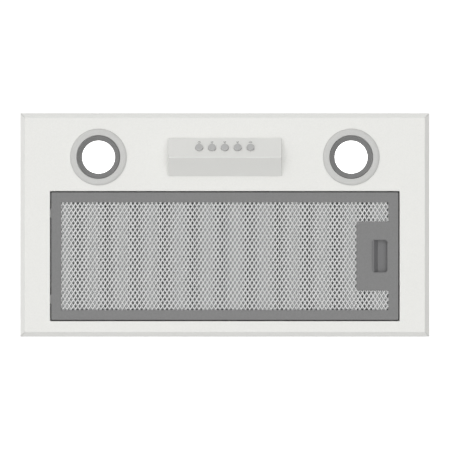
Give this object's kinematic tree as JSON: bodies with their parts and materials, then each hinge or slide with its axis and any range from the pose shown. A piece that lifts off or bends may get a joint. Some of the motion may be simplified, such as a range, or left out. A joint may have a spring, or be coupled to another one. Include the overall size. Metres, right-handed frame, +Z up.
{
  "type": "under cabinet range hood",
  "caption": "White built-in range hood: bevelled face panel with hinged mesh grease filter, round downlights, wedge console with push buttons, blower box and round duct spigot.",
  "frame": {"origin": "centre of the panel's turned-in seat flange, on the plane that meets the cabinet's underside", "axes": "+Z up out of the duct spigot, +X to the user's right along the panel's long side, -Y to the front, where the lamps and buttons are"},
  "size_m": [0.525, 0.287, 0.2277],
  "materials": {
    "panel_paint": "satin powder coat",
    "galvanised": "galvanised sheet",
    "zinc_steel": "zinc-plated",
    "spring_steel": "bright wire",
    "filter_frame": "satin grey paint",
    "mesh": "expanded and rolled",
    "white_plastic": "fine satin moulding",
    "button_plastic": "satin",
    "grey_plastic": "fine texture",
    "black_plastic": "moulded",
    "blower_plastic": "glass-filled moulding",
    "fan_plastic": "moulded",
    "bezel": "satin nickel paint",
    "reflector": "satin",
    "lens": "frosted",
    "lamp_alloy": "die cast",
    "motor_steel": "zinc-plated pressing",
    "copper": "enamelled wire",
    "core_steel": "laminated",
    "rubber": "moulded",
    "capacitor_shell": "moulded",
    "switch_plastic": "moulded"
  },
  "bodies": {
    "hood": {"button_springs": "spring_steel", "cable_gland": "black_plastic", "capacitor": "capacitor_shell", "clip_brackets": "galvanised", "clip_fasteners": "zinc_steel", "console_cover": "white_plastic", "console_screws": "zinc_steel", "divider_wall": "galvanised", "face_panel": "panel_paint", "foot_angles": "galvanised", "housing_back": "galvanised", "housing_front": "galvanised", "housing_left": "galvanised", "housing_right": "galvanised", "housing_rivets": "zinc_steel", "housing_top": "galvanised", "junction_box": "black_plastic", "lamp_bezel_left": "bezel", "lamp_bezel_right": "bezel", "lamp_body_left": "lamp_alloy", "lamp_body_right": "lamp_alloy", "lamp_lens_left": "lens", "lamp_lens_right": "lens", "lamp_reflector_left": "reflector", "lamp_reflector_right": "reflector", "lamp_springs": "spring_steel", "motor_bearings": "zinc_steel", "motor_bracket": "zinc_steel", "motor_grommets": "rubber", "motor_shell_inner": "motor_steel", "motor_shell_outer": "motor_steel", "outlet_spigot": "black_plastic", "pan_head_screws": "zinc_steel", "scroll_left": "blower_plastic", "scroll_right": "blower_plastic", "stator_core": "core_steel", "stator_windings": "copper", "stud_nuts": "zinc_steel", "switch_block": "switch_plastic"},
    "fan_wheel": {"impeller": "fan_plastic", "motor_rotor": "core_steel"},
    "flap_front_body": {"flap_front": "black_plastic"},
    "flap_back_body": {"flap_back": "black_plastic"},
    "filter": {"filter_tray": "filter_frame", "filter_rim": "filter_frame", "filter_mesh_lower": "mesh", "filter_media": "mesh", "filter_back_grille": "mesh", "latch_box": "grey_plastic", "latch_springs": "spring_steel"},
    "latch": {"latch_slider": "grey_plastic"},
    "button_1_body": {"button_1": "button_plastic"},
    "button_2_body": {"button_2": "button_plastic"},
    "button_3_body": {"button_3": "button_plastic"},
    "button_4_body": {"button_4": "button_plastic"},
    "button_5_body": {"button_5": "button_plastic"},
    "pawl_front_left_body": {"pawl_front_left": "grey_plastic"},
    "pawl_back_left_body": {"pawl_back_left": "grey_plastic"},
    "pawl_front_right_body": {"pawl_front_right": "grey_plastic"},
    "pawl_back_right_body": {"pawl_back_right": "grey_plastic"}
  },
  "joints": [
    {"name": "fan_spin", "type": "hinge", "parent": "hood", "child": "fan_wheel", "pos_m": [0, 0.038, 0.072], "axis": [1, 0, 0], "continuous": true},
    {"name": "flap_front_hinge", "type": "hinge", "parent": "hood", "child": "flap_front_body", "pos_m": [0, -0.0032, 0.176], "axis": [-1, 0, 0], "range_deg": [0, 78]},
    {"name": "flap_back_hinge", "type": "hinge", "parent": "hood", "child": "flap_back_body", "pos_m": [0, 0.0032, 0.176], "axis": [1, 0, 0], "range_deg": [0, 78]},
    {"name": "filter_hinge", "type": "hinge", "parent": "hood", "child": "filter", "pos_m": [-0.224, 0.04, -0.0112], "axis": [0, 1, 0], "range_deg": [0, 70]},
    {"name": "latch_slide", "type": "slide", "parent": "filter", "child": "latch", "axis": [-1, 0, 0], "range_m": [0, 0.005], "stiffness_N_per_m": 400, "springref_m": -0.004, "deforming": ["latch_springs"]},
    {"name": "button_1_press", "type": "slide", "parent": "hood", "child": "button_1_body", "axis": [0, 0.5562, 0.831], "range_m": [0, 0.003], "stiffness_N_per_m": 400, "springref_m": -0.002, "deforming": ["button_springs"]},
    {"name": "button_2_press", "type": "slide", "parent": "hood", "child": "button_2_body", "axis": [0, 0.5562, 0.831], "range_m": [0, 0.003], "stiffness_N_per_m": 400, "springref_m": -0.002, "deforming": ["button_springs"]},
    {"name": "button_3_press", "type": "slide", "parent": "hood", "child": "button_3_body", "axis": [0, 0.5562, 0.831], "range_m": [0, 0.003], "stiffness_N_per_m": 400, "springref_m": -0.002, "deforming": ["button_springs"]},
    {"name": "button_4_press", "type": "slide", "parent": "hood", "child": "button_4_body", "axis": [0, 0.5562, 0.831], "range_m": [0, 0.003], "stiffness_N_per_m": 400, "springref_m": -0.002, "deforming": ["button_springs"]},
    {"name": "button_5_press", "type": "slide", "parent": "hood", "child": "button_5_body", "axis": [0, 0.5562, 0.831], "range_m": [0, 0.003], "stiffness_N_per_m": 400, "springref_m": -0.002, "deforming": ["button_springs"]},
    {"name": "pawl_front_left_fold", "type": "hinge", "parent": "hood", "child": "pawl_front_left_body", "pos_m": [-0.2385, -0.08, 0.06], "axis": [0, -1, 0], "range_deg": [0, 14], "stiffness_Nm_per_rad": 0.12, "springref_deg": -14.32},
    {"name": "pawl_back_left_fold", "type": "hinge", "parent": "hood", "child": "pawl_back_left_body", "pos_m": [-0.2385, 0.08, 0.06], "axis": [0, -1, 0], "range_deg": [0, 14], "stiffness_Nm_per_rad": 0.12, "springref_deg": -14.32},
    {"name": "pawl_front_right_fold", "type": "hinge", "parent": "hood", "child": "pawl_front_right_body", "pos_m": [0.2385, -0.08, 0.06], "axis": [0, 1, 0], "range_deg": [0, 14], "stiffness_Nm_per_rad": 0.12, "springref_deg": -14.32},
    {"name": "pawl_back_right_fold", "type": "hinge", "parent": "hood", "child": "pawl_back_right_body", "pos_m": [0.2385, 0.08, 0.06], "axis": [0, 1, 0], "range_deg": [0, 14], "stiffness_Nm_per_rad": 0.12, "springref_deg": -14.32}
  ]
}
